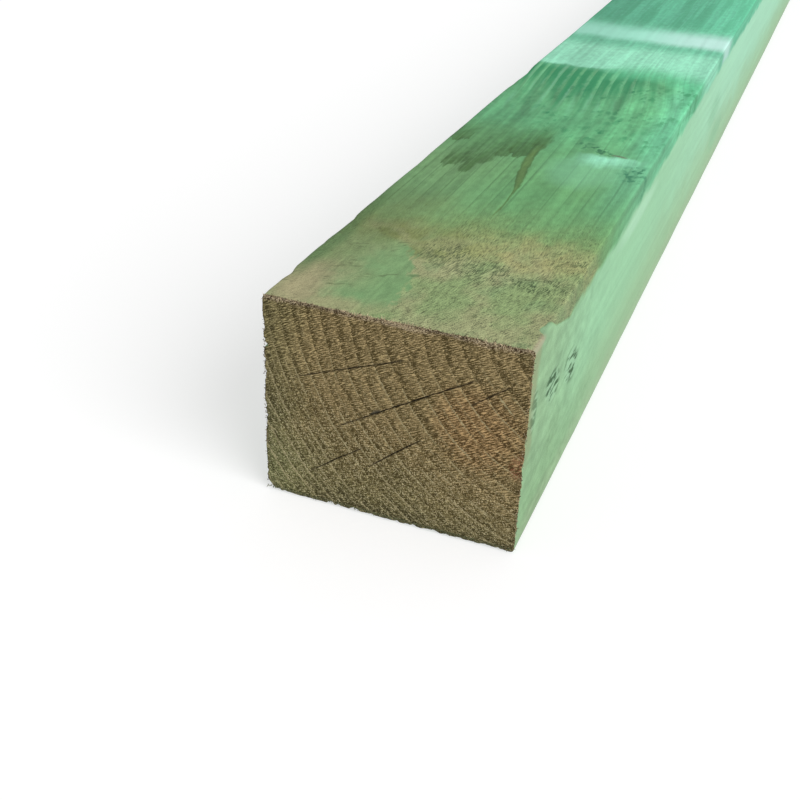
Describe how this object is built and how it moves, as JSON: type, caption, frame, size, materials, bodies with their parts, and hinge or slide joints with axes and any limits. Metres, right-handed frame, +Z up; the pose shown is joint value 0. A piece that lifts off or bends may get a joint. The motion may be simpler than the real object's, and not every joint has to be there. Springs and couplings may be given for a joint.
{
  "type": "timber stud",
  "caption": "Sawn softwood stud of oblong section, green with preservative, with eased long edges and drying checks in its cut end.",
  "frame": {"origin": "middle of the underside, halfway along the length", "axes": "+Y along the length, away from the cut end that shows checks; +Z up, out of the top face; +X across the width"},
  "size_m": [0.06, 2.4, 0.05],
  "materials": {
    "treated_timber": "rough-sawn softwood, green preservative stain, matt; bare brown end grain"
  },
  "bodies": {
    "root": {"stud": "treated_timber"}
  },
  "joints": []
}
